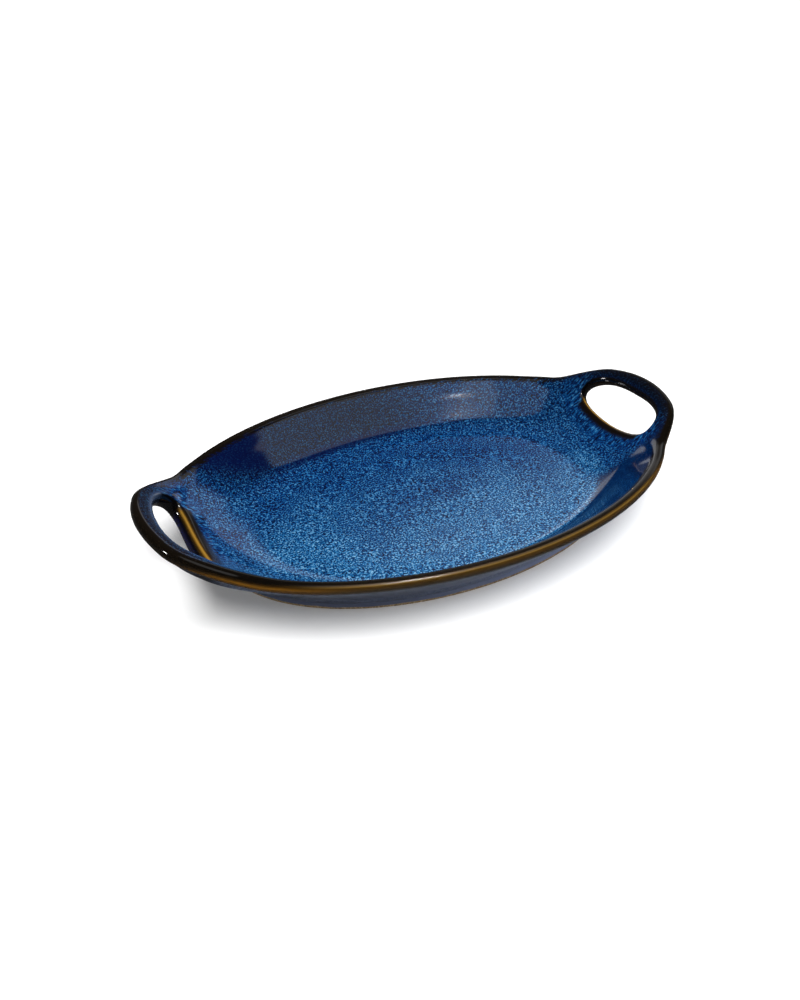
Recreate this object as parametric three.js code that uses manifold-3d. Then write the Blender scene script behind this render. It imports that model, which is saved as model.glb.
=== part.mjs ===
// Oval stoneware serving platter with a pierced handle at each end.
// Millimetres, +Z up. The origin is on the table, under the middle of the dish.
// +X runs along the length, towards the right handle.

import * as THREE from 'three';
import { mergeVertices } from 'three/addons/utils/BufferGeometryUtils.js';
import Module from 'manifold-3d';

// Dish: the oval where floor and wall meet, and the oval along the middle of the rolled rim
const FLOOR_HALF_LENGTH = 109.2;
const FLOOR_HALF_WIDTH = 68.9;
const RIM_HALF_LENGTH = 138.7;
const RIM_HALF_WIDTH = 92.0;
const RIM_HEIGHT = 28.8;          // middle of the rolled rim above the table
const WALL_THICKNESS = 6.2;
const FLOOR_THICKNESS = 6.2;      // at its edge
const SIDE_FILLET = 18.0;         // inside, floor to wall, along the long sides
const END_FILLET = 45.0;          // inside, floor to wall, at the two ends
const UNDER_FILLET = 3.0;         // outside, wall to underside
const SKIRT_SLOPE = 2.2;          // outside, steeper just above the foot
const FLOOR_DIP = 2.8;            // how far the floor's middle lies below its edge
const DIP_FADE = 0.6;             // how gently the dip ends at the wall
const FILLET_CHANGE = 4;          // higher keeps the end fillet closer to the ends
const SQUARE_FROM = 0.5;          // share of the way out where the faces begin to turn square to the clay
const SQUARE_BY = 0.8;            // and where they are square

// Foot: the bare ring that the dish stands on
const FOOT_HEIGHT = 3.2;          // table to the underside of the dish
const FOOT_OUTSET = 3.4;          // outer foot edge beyond the floor oval, at the table
const FOOT_FLARE = 0.5;           // how far the foot widens towards the dish
const FOOT_WIDTH = 8.0;
const FOOT_CHAMFER = 0.6;

// Handles: the rim drawn out and up into a strap at each end, with a finger hole
const HANDLE_PAST_RIM = 9.5;      // rim oval to the middle of the strap's outer edge
const HANDLE_RISE = 11.9;         // handle tip above the rim
const RISE_BEFORE_RIM = 35.2;     // how far before the rim oval's end the rim begins to rise
const HANDLE_ROOT_HALF_WIDTH = 49.4;
const HANDLE_END_HALF_WIDTH = 21.8;
const STRAP_THICKNESS = 6.6;
const HOLE_PAST_RIM = 5.9;        // rim oval to the middle of the strap's inner edge
const END_EDGE_BEFORE_RIM = 14.9; // rim oval to the straight end of the dish, beside the hole
const WIDEST_BEFORE_RIM = 9.2;    // rim oval to where along the length the hole is widest
const HOLE_HALF_WIDTH = 32.0;
const HOLE_OUTER_ROUNDNESS = 2.3; // higher is squarer
const HOLE_INNER_ROUNDNESS = 7.0;
const RIM_BLEND = 1.6;            // height over which the wall turns into the rim
const NECK_BLEND = 6.0;           // height over which it turns into the strap
const RIM_STEEPENING = 3.5;       // how much steeper the wall turns at the rim oval
const NECK_STEEPENING = 2.4;      // and where it runs up into a handle
const RIM_EASE = 0.02;            // level to each side of the rim oval over which it does so
const NECK_EASE = 0.3;            // and at a handle
const END_LIP_DROP = 3.0;         // how much further the dish's end edge hangs down than the rim
const NECK_DROP = 2.4;            // the same, at the hole corners
const END_LIP_SQUARENESS = 4;     // higher keeps the first closer to the hole corners
const NECK_DROP_SQUARENESS = 2;   // higher keeps the second closer to them, along the strap
const END_LIP_FROM = 0.6;         // share of the way out where the end edge begins to thicken

// Joint: each handle is luted to the dish just past the dish's end edge
const SLIP_GAP = 0.3;             // layer of slip between two clay pieces
const JOINT_PAST_EDGE = 0.5;

// Fineness of the faceted surfaces
const HOLE_COLUMNS = 7;
const SIDE_COLUMNS = 15;
const SIDE_COLUMN_GROWTH = 1.5;   // columns widen away from the hole corners
const COLUMN_FAN = 1.25;          // columns spread out round the hole corners
const STRAP_ROOT_LEVEL = 0.85;    // where the strap's rows begin along the long sides
const STRAP_ROOT_FADE = 0.35;     // angle over which they get there from the hole corner
const FLOOR_ROWS = 4;
const WALL_ROWS = 16;
const STRAP_ROWS = 4;
const EDGE_ROWS = 6;
const FOOT_COLUMNS = 72;
const HALVINGS = 40;
const SLOPE_STEP = 1e-4;          // step in angle and level for taking a slope
const WELD_DISTANCE = 1e-5;

// Sizes that follow from the ones above
const END_RUN = RIM_HALF_LENGTH - FLOOR_HALF_LENGTH;
const SIDE_RUN = RIM_HALF_WIDTH - FLOOR_HALF_WIDTH;
const WALL_RUN = (END_RUN + SIDE_RUN) / 2;
const UNDERSIDE = FOOT_HEIGHT;
const FLOOR_TOP = UNDERSIDE + FLOOR_THICKNESS;
const FLOOR_MIDDLE = (UNDERSIDE + FLOOR_TOP) / 2;
const WALL_SLOPE = (RIM_HEIGHT - FLOOR_MIDDLE) / WALL_RUN;
const WALL_ANGLE = Math.atan(WALL_SLOPE);
const WALL_LIFT = WALL_THICKNESS / 2 / Math.cos(WALL_ANGLE);
const HANDLE_ROOT_ANGLE = Math.asin(HANDLE_ROOT_HALF_WIDTH / RIM_HALF_WIDTH);
const HANDLE_END_ANGLE = Math.asin(HANDLE_END_HALF_WIDTH / RIM_HALF_WIDTH);
const HANDLE_TIP = RIM_HALF_LENGTH + HANDLE_PAST_RIM;
const HANDLE_RISE_START = RIM_HALF_LENGTH - RISE_BEFORE_RIM;
const HANDLE_REACH = HANDLE_PAST_RIM / END_RUN;
const HOLE_TIP = RIM_HALF_LENGTH + HOLE_PAST_RIM;
const HOLE_WIDEST = RIM_HALF_LENGTH - WIDEST_BEFORE_RIM;
const END_EDGE = RIM_HALF_LENGTH - END_EDGE_BEFORE_RIM;
const END_LIP_REACH = (WALL_THICKNESS + END_LIP_DROP) / 2;
const JOINT = END_EDGE + END_LIP_REACH + JOINT_PAST_EDGE;
const FLAT_FLOOR_LEVEL = -END_FILLET * Math.tan(WALL_ANGLE / 2) / WALL_RUN;
const HOLE_CORNER = placeAt(HOLE_WIDEST, HOLE_HALF_WIDTH);

const wasm = await Module();
wasm.setup();

// A place on the clay is an angle round the dish and a level:
// level 0 is the floor oval, level 1 the rim oval, and the handles reach beyond it.

const smoothStep = (u) => THREE.MathUtils.smoothstep(u, 0, 1);

// Angle from the nearer end of the length, 0 to a quarter turn
function foldAngle(angle) {
  return Math.atan2(Math.abs(Math.sin(angle)), Math.abs(Math.cos(angle)));
}

function planPoint(angle, level) {
  const x = (FLOOR_HALF_LENGTH + END_RUN * level) * Math.cos(angle);
  const y = (FLOOR_HALF_WIDTH + SIDE_RUN * level) * Math.sin(angle);
  return [x, y];
}

function outlineLevel(angle) {
  const share = (HANDLE_ROOT_ANGLE - foldAngle(angle)) / (HANDLE_ROOT_ANGLE - HANDLE_END_ANGLE);
  return 1 + HANDLE_REACH * smoothStep(share);
}

// Angle and level of a place in plan, found by halving
function placeAt(x, y) {
  let low = FLAT_FLOOR_LEVEL;
  let high = 1 + 2 * HANDLE_REACH;
  for (let i = 0; i < HALVINGS; i += 1) {
    const level = (low + high) / 2;
    const across = x / (FLOOR_HALF_LENGTH + END_RUN * level);
    const along = y / (FLOOR_HALF_WIDTH + SIDE_RUN * level);
    if (Math.hypot(across, along) > 1) low = level;
    else high = level;
  }
  const angle = Math.atan2(y / (FLOOR_HALF_WIDTH + SIDE_RUN * low), x / (FLOOR_HALF_LENGTH + END_RUN * low));
  return { angle, level: low };
}

// Place on the edge of the right hole, at a share of its half width; reach is from where it is widest
function holePlace(share, reach, roundness) {
  const x = HOLE_WIDEST + reach * Math.sqrt(1 - share ** roundness);
  return placeAt(x, HOLE_HALF_WIDTH * share);
}

// Height of a flat floor that turns through a fillet into a sloping wall
function floorAndWall(run, floor, fillet) {
  const reach = fillet * Math.tan(WALL_ANGLE / 2);
  if (run <= -reach) return floor;
  if (run >= reach * Math.cos(WALL_ANGLE)) return floor + run * WALL_SLOPE;
  return floor + fillet - Math.sqrt(fillet ** 2 - (run + reach) ** 2);
}

// The same, for a face whose wall lies lift above the middle of the clay
function faceHeight(level, floor, fillet, lift) {
  const shift = (floor - FLOOR_MIDDLE - lift) / WALL_SLOPE;
  return floorAndWall(level * WALL_RUN - shift, floor, fillet);
}

// The lower of two heights, rounded where they cross
function softMin(a, b, width) {
  const share = THREE.MathUtils.clamp(0.5 + (b - a) / width / 2, 0, 1);
  return b + (a - b) * share - width * share * (1 - share);
}

function strapHeight(x) {
  const along = Math.max(Math.abs(x) - HANDLE_RISE_START, 0) / (HANDLE_TIP - HANDLE_RISE_START);
  return RIM_HEIGHT + HANDLE_RISE * along ** 2;
}

// The middle of the clay's thickness
function middle(angle, level) {
  const [x, y] = planPoint(angle, level);
  const wall = floorAndWall(level * WALL_RUN, FLOOR_MIDDLE, UNDER_FILLET);
  const neck = THREE.MathUtils.smoothstep(Math.abs(x), HANDLE_RISE_START, END_EDGE);
  const steepening = THREE.MathUtils.lerp(RIM_STEEPENING, NECK_STEEPENING, neck);
  const pastRim = -softMin(1 - level, 0, THREE.MathUtils.lerp(RIM_EASE, NECK_EASE, neck));
  const beyond = pastRim * WALL_RUN * WALL_SLOPE * (steepening - 1);
  const blend = THREE.MathUtils.lerp(RIM_BLEND, NECK_BLEND, neck);
  const z = softMin(wall + beyond, strapHeight(x) + RIM_BLEND / 4, blend);
  return new THREE.Vector3(x, y, z);
}

function clayNormal(angle, level) {
  const round = middle(angle + SLOPE_STEP, level).sub(middle(angle - SLOPE_STEP, level));
  const outward = middle(angle, level + SLOPE_STEP).sub(middle(angle, level - SLOPE_STEP));
  return outward.cross(round).normalize();
}

function halfThickness(angle, level) {
  const along = (Math.abs(planPoint(angle, level)[0]) - HANDLE_RISE_START) / (END_EDGE - HANDLE_RISE_START);
  const strap = smoothStep(along) * smoothStep((level - STRAP_ROOT_LEVEL) / (1 - STRAP_ROOT_LEVEL));
  return THREE.MathUtils.lerp(WALL_THICKNESS, STRAP_THICKNESS, strap) / 2;
}

// Height of the dipped floor over a flat one
function floorDip(x, y) {
  const outward = (x / FLOOR_HALF_LENGTH) ** 2 + (y / FLOOR_HALF_WIDTH) ** 2;
  return FLOOR_DIP * (softMin(outward, 1, DIP_FADE) - 1);
}

// Upper (side 1) or lower (side -1) face of the clay.
// Near an edge the face stands square off the middle, so that the edge can roll over;
// hang is how much further the lower face lies below the middle.
function facePoint(angle, level, edgeLevel, side, hang) {
  const centre = middle(angle, level);
  const offset = side > 0 ? halfThickness(angle, level) : -halfThickness(angle, level) - hang;
  const square = clayNormal(angle, level).multiplyScalar(offset).add(centre);
  const endShare = Math.cos(foldAngle(angle)) ** FILLET_CHANGE;
  const insideFillet = THREE.MathUtils.lerp(SIDE_FILLET, END_FILLET, endShare);
  const skirt = UNDERSIDE + SKIRT_SLOPE * Math.max(level * WALL_RUN - FOOT_OUTSET - FOOT_FLARE, 0);
  const z = side > 0
    ? faceHeight(level, FLOOR_TOP, insideFillet, WALL_LIFT) + floorDip(centre.x, centre.y)
    : Math.min(faceHeight(level, UNDERSIDE, UNDER_FILLET, -WALL_LIFT), skirt);
  const upright = new THREE.Vector3(centre.x, centre.y, z);
  return upright.lerp(square, THREE.MathUtils.smoothstep(level / edgeLevel, SQUARE_FROM, SQUARE_BY));
}

// A column runs from the floor out to the rim. At the hole it has two edges, the dish's and the strap's,
// and elsewhere these are one place. The columns of a quarter, from the end of the length to the side:
function quarterColumns() {
  const columns = [];
  for (let i = 0; i <= HOLE_COLUMNS; i += 1) {
    const share = Math.sin(Math.PI / 2 * i / HOLE_COLUMNS);
    const dish = holePlace(share, END_EDGE - HOLE_WIDEST, HOLE_INNER_ROUNDNESS);
    const strap = holePlace(share, HOLE_TIP - HOLE_WIDEST, HOLE_OUTER_ROUNDNESS);
    const fan = THREE.MathUtils.lerp(1, COLUMN_FAN, share ** 2);
    const spread = HOLE_CORNER.angle * fan * i / HOLE_COLUMNS;
    dish.drop = THREE.MathUtils.lerp(END_LIP_DROP, NECK_DROP, share ** END_LIP_SQUARENESS);
    strap.drop = NECK_DROP * share ** NECK_DROP_SQUARENESS;
    columns.push({ floorAngle: spread, dish, strap, rimAngle: spread, open: i < HOLE_COLUMNS });
  }
  const fanned = HOLE_CORNER.angle * COLUMN_FAN;
  for (let i = 1; i <= SIDE_COLUMNS; i += 1) {
    const share = (i / SIDE_COLUMNS) ** SIDE_COLUMN_GROWTH;
    const angle = THREE.MathUtils.lerp(HOLE_CORNER.angle, Math.PI / 2, share);
    const spread = THREE.MathUtils.lerp(fanned, Math.PI / 2, i / SIDE_COLUMNS);
    const fade = smoothStep((angle - HOLE_CORNER.angle) / STRAP_ROOT_FADE);
    const level = THREE.MathUtils.lerp(HOLE_CORNER.level, STRAP_ROOT_LEVEL, fade);
    const place = { angle, level, drop: NECK_DROP * (1 - fade) };
    columns.push({ floorAngle: spread, dish: place, strap: place, rimAngle: spread, open: false });
  }
  return columns;
}

// The same column in another quarter: turn is applied to each of its angles
function turned(column, turn) {
  return {
    floorAngle: turn(column.floorAngle),
    dish: { ...column.dish, angle: turn(column.dish.angle) },
    strap: { ...column.strap, angle: turn(column.strap.angle) },
    rimAngle: turn(column.rimAngle),
    open: column.open,
  };
}

function allColumns() {
  const quarter = quarterColumns();
  const half = [...quarter, ...quarter.slice(0, -1).reverse().map((c) => turned(c, (a) => Math.PI - a))];
  return [...half, ...half.slice(1, -1).reverse().map((c) => turned(c, (a) => -a))];
}

// Collects points and faces of one closed surface
class Surface {
  constructor() {
    this.points = [];
    this.faces = [];
  }

  add(point) {
    this.points.push(point.x, point.y, point.z);
    return this.points.length / 3 - 1;
  }

  // Strip of quads between two rows of as many points; the rows close on themselves
  strip(rowA, rowB) {
    rowA.forEach((a, i) => {
      const next = (i + 1) % rowA.length;
      this.triangle(a, rowB[i], rowB[next]);
      this.triangle(a, rowB[next], rowA[next]);
    });
  }

  triangle(a, b, c) {
    if (a !== b && b !== c && c !== a) this.faces.push(a, b, c);
  }

  geometry() {
    const geometry = new THREE.BufferGeometry();
    geometry.setAttribute('position', new THREE.Float32BufferAttribute(this.points, 3));
    geometry.setIndex(this.faces);
    return geometry;
  }
}

// The whole glazed body, dish and handles in one skin, before it is cut at the joints
function bodySurface() {
  const columns = allColumns();
  const surface = new Surface();
  const { lerp } = THREE.MathUtils;
  const rims = columns.map((c) => ({ angle: c.rimAngle, level: outlineLevel(c.rimAngle), drop: 0 }));
  const edges = {};
  for (const side of [1, -1]) {
    const skin = (rowA, rowB) => (side > 0 ? surface.strip(rowA, rowB) : surface.strip(rowB, rowA));
    const floorPoint = (x, y) => (
      surface.add(new THREE.Vector3(x, y, side > 0 ? FLOOR_TOP + floorDip(x, y) : UNDERSIDE))
    );
    const centre = floorPoint(0, 0);
    let row = columns.map(() => centre);
    for (let i = 1; i < FLOOR_ROWS; i += 1) {
      const next = columns.map((c) => {
        const [x, y] = planPoint(c.floorAngle, FLAT_FLOOR_LEVEL);
        return floorPoint(x * i / FLOOR_ROWS, y * i / FLOOR_ROWS);
      });
      skin(row, next);
      row = next;
    }
    for (let i = 0; i <= WALL_ROWS; i += 1) {
      const share = i / WALL_ROWS;
      const next = columns.map((c, k) => {
        const angle = lerp(c.floorAngle, c.dish.angle, share);
        const level = lerp(FLAT_FLOOR_LEVEL, c.dish.level, share);
        const hang = c.dish.drop * THREE.MathUtils.smoothstep(level / c.dish.level, END_LIP_FROM, 1);
        return surface.add(facePoint(angle, level, c.open ? c.dish.level : rims[k].level, side, hang));
      });
      skin(row, next);
      row = next;
    }
    const dishRow = row;
    const strapPoint = (c, k, share) => {
      const angle = lerp(c.strap.angle, rims[k].angle, share);
      const level = lerp(c.strap.level, rims[k].level, share);
      const hang = c.strap.drop * (1 - smoothStep(share));
      return surface.add(facePoint(angle, level, c.open ? c.strap.level : rims[k].level, side, hang));
    };
    row = columns.map((c, k) => (c.open ? strapPoint(c, k, 0) : dishRow[k]));
    const strapRow = row;
    for (let i = 1; i <= STRAP_ROWS; i += 1) {
      const next = columns.map((c, k) => strapPoint(c, k, i / STRAP_ROWS));
      skin(row, next);
      row = next;
    }
    edges[side] = { dishRow, strapRow, rimRow: row };
  }
  rollEdge(surface, rims, edges[1].rimRow, edges[-1].rimRow);
  for (const loop of holeLoops(columns)) {
    const places = loop.map(({ k, strap }) => (strap ? columns[k].strap : columns[k].dish));
    const pick = (rows) => loop.map(({ k, strap }) => (strap ? rows.strapRow[k] : rows.dishRow[k]));
    rollEdge(surface, places, pick(edges[1]), pick(edges[-1]));
  }
  return surface;
}

// The two hole edges as loops of columns: along the dish's edge, and back along the strap's
function holeLoops(columns) {
  const last = columns.length;
  return [0, 2 * (HOLE_COLUMNS + SIDE_COLUMNS)].map((middleColumn) => {
    const loop = [];
    for (let i = -HOLE_COLUMNS; i <= HOLE_COLUMNS; i += 1) {
      loop.push({ k: (middleColumn + i + last) % last, strap: false });
    }
    for (let i = HOLE_COLUMNS - 1; i > -HOLE_COLUMNS; i -= 1) {
      loop.push({ k: (middleColumn + i + last) % last, strap: true });
    }
    return loop;
  });
}

// Half-round edge along a closed line of places, from the upper face's last row to the lower face's;
// where it hangs down further, it is half oval
function rollEdge(surface, places, upperRow, lowerRow) {
  const count = places.length;
  const centres = places.map(({ angle, level }) => middle(angle, level));
  const normals = places.map(({ angle, level }) => clayNormal(angle, level));
  const radii = places.map(({ angle, level }) => halfThickness(angle, level));
  const outs = centres.map((centre, k) => {
    const along = centres[(k + 1) % count].clone().sub(centres[(k + count - 1) % count]);
    return along.cross(normals[k]).normalize();
  });
  let row = upperRow;
  for (let i = 1; i < EDGE_ROWS; i += 1) {
    const turn = Math.PI * i / EDGE_ROWS;
    const next = centres.map((centre, k) => {
      const hang = places[k].drop / 2;
      const point = centre.clone().addScaledVector(normals[k], (radii[k] + hang) * Math.cos(turn) - hang);
      return surface.add(point.addScaledVector(outs[k], radii[k] * Math.sin(turn)));
    });
    surface.strip(row, next);
    row = next;
  }
  surface.strip(row, lowerRow);
}

// Foot ring: one section, carried round the floor oval
function footSurface() {
  const outer = FOOT_OUTSET;
  const inner = FOOT_OUTSET - FOOT_WIDTH;
  const top = FOOT_HEIGHT - SLIP_GAP;
  const section = [
    [outer - FOOT_CHAMFER, 0],
    [outer, FOOT_CHAMFER],
    [outer + FOOT_FLARE, top],
    [inner - FOOT_FLARE, top],
    [inner, FOOT_CHAMFER],
    [inner + FOOT_CHAMFER, 0],
  ];
  const surface = new Surface();
  const rows = section.map(([outset, z]) => {
    const row = [];
    for (let i = 0; i < FOOT_COLUMNS; i += 1) {
      const angle = 2 * Math.PI * i / FOOT_COLUMNS;
      const x = (FLOOR_HALF_LENGTH + outset) * Math.cos(angle);
      const y = (FLOOR_HALF_WIDTH + outset) * Math.sin(angle);
      row.push(surface.add(new THREE.Vector3(x, y, z)));
    }
    return row;
  });
  rows.forEach((row, i) => surface.strip(rows[(i + 1) % rows.length], row));
  return surface;
}

// Closed geometry to solid, and back
function toSolid(geometry) {
  const bare = geometry.clone();
  bare.deleteAttribute('normal');
  bare.deleteAttribute('uv');
  const merged = mergeVertices(bare, WELD_DISTANCE);
  return new wasm.Manifold(new wasm.Mesh({
    numProp: 3,
    vertProperties: new Float32Array(merged.attributes.position.array),
    triVerts: new Uint32Array(merged.index.array),
  }));
}

function toGeometry(solid) {
  const { vertProperties, triVerts } = solid.getMesh();
  const geometry = new THREE.BufferGeometry();
  geometry.setAttribute('position', new THREE.BufferAttribute(vertProperties, 3));
  geometry.setIndex(new THREE.BufferAttribute(triVerts, 1));
  return geometry;
}

// Block that holds everything between two places along the length
function lengthBlock(fromX, toX) {
  const depth = 4 * RIM_HALF_WIDTH;
  const height = 4 * (RIM_HEIGHT + HANDLE_RISE);
  const block = new THREE.BoxGeometry(toX - fromX, depth, height);
  block.translate((fromX + toX) / 2, 0, 0);
  return toSolid(block);
}

// Finishes
const glaze = { color: 0x1d4a80, roughness: 0.22, metalness: 0.0 };
const strapGlaze = { color: 0x1c2c44, roughness: 0.25, metalness: 0.0 };
const bareClay = { color: 0xb7a184, roughness: 0.85, metalness: 0.0 };

function piece(name, geometry, finish) {
  geometry.computeVertexNormals();
  const mesh = new THREE.Mesh(geometry, new THREE.MeshStandardMaterial(finish));
  mesh.name = name;
  return mesh;
}

const body = toSolid(bodySurface().geometry());
const farEnd = 2 * HANDLE_TIP;
const dishBlock = lengthBlock(-JOINT, JOINT);
const rightBlock = lengthBlock(JOINT + SLIP_GAP, farEnd);
const leftBlock = lengthBlock(-farEnd, -JOINT - SLIP_GAP);

const platter = new THREE.Group();
platter.add(
  piece('dish_body', toGeometry(body.intersect(dishBlock)), glaze),
  piece('handle_right', toGeometry(body.intersect(rightBlock)), strapGlaze),
  piece('handle_left', toGeometry(body.intersect(leftBlock)), strapGlaze),
  piece('foot_ring', footSurface().geometry(), bareClay),
);

export default platter;
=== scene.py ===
"""Oval stoneware serving platter with a pierced handle at each end, in its glaze.

The frame is the CAD's: metres, +X along the length towards the right handle, +Z up, origin on the table.
Sizes below are written in millimetres.
"""
import math
from functools import partial

import bmesh
import bpy
import numpy as np
from mathutils import Matrix, Vector


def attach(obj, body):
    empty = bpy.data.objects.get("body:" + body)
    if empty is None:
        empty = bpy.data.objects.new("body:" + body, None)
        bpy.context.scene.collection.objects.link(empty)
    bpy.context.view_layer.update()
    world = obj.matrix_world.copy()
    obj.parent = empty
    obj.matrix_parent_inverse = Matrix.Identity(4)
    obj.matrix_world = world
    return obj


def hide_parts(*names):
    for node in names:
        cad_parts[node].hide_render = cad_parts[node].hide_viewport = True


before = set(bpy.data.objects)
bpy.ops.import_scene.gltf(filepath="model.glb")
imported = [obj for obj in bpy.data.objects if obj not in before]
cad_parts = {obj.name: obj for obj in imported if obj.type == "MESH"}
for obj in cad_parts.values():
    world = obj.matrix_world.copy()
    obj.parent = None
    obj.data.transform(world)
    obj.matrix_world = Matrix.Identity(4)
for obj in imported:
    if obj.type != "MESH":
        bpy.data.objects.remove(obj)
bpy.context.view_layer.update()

MM = 0.001

# Dish: the oval where floor and wall meet, and the oval along the middle of the rolled rim
FLOOR_HALF_LENGTH = 109.2
FLOOR_HALF_WIDTH = 68.9
RIM_HALF_LENGTH = 138.7
RIM_HALF_WIDTH = 92.0
RIM_HEIGHT = 28.8           # middle of the rolled rim above the table
WALL_THICKNESS = 6.2
FLOOR_THICKNESS = 6.2       # at its edge
SIDE_FILLET = 18.0          # inside, floor to wall, along the long sides
END_FILLET = 45.0           # inside, floor to wall, at the two ends
UNDER_FILLET = 3.0          # outside, wall to underside
SKIRT_SLOPE = 2.2           # outside, steeper just above the foot
FLOOR_DIP = 2.8             # how far the floor's middle lies below its edge
DIP_FADE = 0.6              # how gently the dip ends at the wall
FILLET_CHANGE = 4           # higher keeps the end fillet closer to the ends
SQUARE_FROM = 0.5           # share of the way out where the faces begin to turn square to the clay
SQUARE_BY = 0.8             # and where they are square

# Foot: the ring that the dish stands on
FOOT_HEIGHT = 3.2           # table to the underside of the dish
FOOT_OUTSET = 3.4           # outer foot edge beyond the floor oval, at the table
FOOT_FLARE = 0.5            # how far the foot widens towards the dish
FOOT_WIDTH = 8.0
FOOT_ROUNDING = 0.6
FOOT_SINK = 0.3             # how far the foot runs up into the dish, so that no gap shows

# Handles: the rim drawn out and up into a strap at each end, with a finger hole
HANDLE_PAST_RIM = 9.5       # rim oval to the middle of the strap's outer edge
HANDLE_RISE = 11.9          # handle tip above the rim
RISE_BEFORE_RIM = 35.2      # how far before the rim oval's end the rim begins to rise
HANDLE_ROOT_HALF_WIDTH = 49.4
HANDLE_END_HALF_WIDTH = 21.8
STRAP_THICKNESS = 6.6
HOLE_PAST_RIM = 5.9         # rim oval to the middle of the strap's inner edge
END_EDGE_BEFORE_RIM = 14.9  # rim oval to the straight end of the dish, beside the hole
WIDEST_BEFORE_RIM = 9.2     # rim oval to where along the length the hole is widest
HOLE_HALF_WIDTH = 32.0
HOLE_OUTER_ROUNDNESS = 2.3  # higher is squarer
HOLE_INNER_ROUNDNESS = 7.0
RIM_BLEND = 1.6             # height over which the wall turns into the rim
NECK_BLEND = 6.0            # height over which it turns into the strap
RIM_STEEPENING = 3.5        # how much steeper the wall turns at the rim oval
NECK_STEEPENING = 2.4       # and where it runs up into a handle
RIM_EASE = 0.02             # level to each side of the rim oval over which it does so
NECK_EASE = 0.3             # and at a handle
END_LIP_DROP = 3.0          # how much further the dish's end edge hangs down than the rim
NECK_DROP = 2.4             # the same, at the hole corners
END_LIP_SQUARENESS = 4      # higher keeps the first closer to the hole corners
NECK_DROP_SQUARENESS = 2    # higher keeps the second closer to them, along the strap
END_LIP_FROM = 0.6          # share of the way out where the end edge begins to thicken
JOINT_PAST_EDGE = 0.5       # dish's end edge to the joint with the handle

# Fineness of the smooth skin
HOLE_COLUMNS = 28
SIDE_COLUMNS = 44
SIDE_COLUMN_GROWTH = 1.5    # columns widen away from the hole corners
COLUMN_FAN = 1.25           # columns spread out round the hole corners
STRAP_ROOT_LEVEL = 0.85     # where the strap's rows begin along the long sides
STRAP_ROOT_FADE = 0.35      # angle over which they get there from the hole corner
FLOOR_ROWS = 20
WALL_ROWS = 52
STRAP_ROWS = 14
EDGE_ROWS = 16
FOOT_COLUMNS = 240
FOOT_CORNER_STEPS = 4
HALVINGS = 40
SLOPE_STEP = 1e-4           # step in angle and level for taking a slope

# Sizes that follow from the ones above
END_RUN = RIM_HALF_LENGTH - FLOOR_HALF_LENGTH
SIDE_RUN = RIM_HALF_WIDTH - FLOOR_HALF_WIDTH
WALL_RUN = (END_RUN + SIDE_RUN) / 2
UNDERSIDE = FOOT_HEIGHT
FLOOR_TOP = UNDERSIDE + FLOOR_THICKNESS
FLOOR_MIDDLE = (UNDERSIDE + FLOOR_TOP) / 2
WALL_SLOPE = (RIM_HEIGHT - FLOOR_MIDDLE) / WALL_RUN
WALL_ANGLE = math.atan(WALL_SLOPE)
WALL_LIFT = WALL_THICKNESS / 2 / math.cos(WALL_ANGLE)
HANDLE_ROOT_ANGLE = math.asin(HANDLE_ROOT_HALF_WIDTH / RIM_HALF_WIDTH)
HANDLE_END_ANGLE = math.asin(HANDLE_END_HALF_WIDTH / RIM_HALF_WIDTH)
HANDLE_TIP = RIM_HALF_LENGTH + HANDLE_PAST_RIM
HANDLE_RISE_START = RIM_HALF_LENGTH - RISE_BEFORE_RIM
HANDLE_REACH = HANDLE_PAST_RIM / END_RUN
HOLE_TIP = RIM_HALF_LENGTH + HOLE_PAST_RIM
HOLE_WIDEST = RIM_HALF_LENGTH - WIDEST_BEFORE_RIM
END_EDGE = RIM_HALF_LENGTH - END_EDGE_BEFORE_RIM
END_LIP_REACH = (WALL_THICKNESS + END_LIP_DROP) / 2
JOINT = END_EDGE + END_LIP_REACH + JOINT_PAST_EDGE
FLAT_FLOOR_LEVEL = -END_FILLET * math.tan(WALL_ANGLE / 2) / WALL_RUN
FAR_END = 2 * HANDLE_TIP


# Shape of the clay. A place on it is an angle round the dish and a level:
# level 0 is the floor oval, level 1 the rim oval, and the handles reach beyond it.

def lerp(a, b, share):
    """Between two values, by a share of the way."""
    return a + (b - a) * share


def smooth_step(u, low=0.0, high=1.0):
    """0 up to low, 1 from high on, and a smooth change between."""
    u = np.clip((u - low) / (high - low), 0, 1)
    return u * u * (3 - 2 * u)


def fold_angle(angle):
    """Angle from the nearer end of the length, 0 to a quarter turn."""
    return np.arctan2(np.abs(np.sin(angle)), np.abs(np.cos(angle)))


def plan_point(angle, level):
    """Length and width of a place on the clay."""
    x = (FLOOR_HALF_LENGTH + END_RUN * level) * np.cos(angle)
    y = (FLOOR_HALF_WIDTH + SIDE_RUN * level) * np.sin(angle)
    return x, y


def outline_level(angle):
    """Level of the outer edge: the rim oval, drawn out at the handles."""
    share = (HANDLE_ROOT_ANGLE - fold_angle(angle)) / (HANDLE_ROOT_ANGLE - HANDLE_END_ANGLE)
    return 1 + HANDLE_REACH * smooth_step(share)


def place_at(x, y):
    """Angle and level of places in plan, found by halving."""
    low = np.full_like(x, FLAT_FLOOR_LEVEL)
    high = np.full_like(x, 1 + 2 * HANDLE_REACH)
    for _ in range(HALVINGS):
        level = (low + high) / 2
        along = x / (FLOOR_HALF_LENGTH + END_RUN * level)
        across = y / (FLOOR_HALF_WIDTH + SIDE_RUN * level)
        outside = np.hypot(along, across) > 1
        low = np.where(outside, level, low)
        high = np.where(outside, high, level)
    angle = np.arctan2(y / (FLOOR_HALF_WIDTH + SIDE_RUN * low), x / (FLOOR_HALF_LENGTH + END_RUN * low))
    return angle, low


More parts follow.
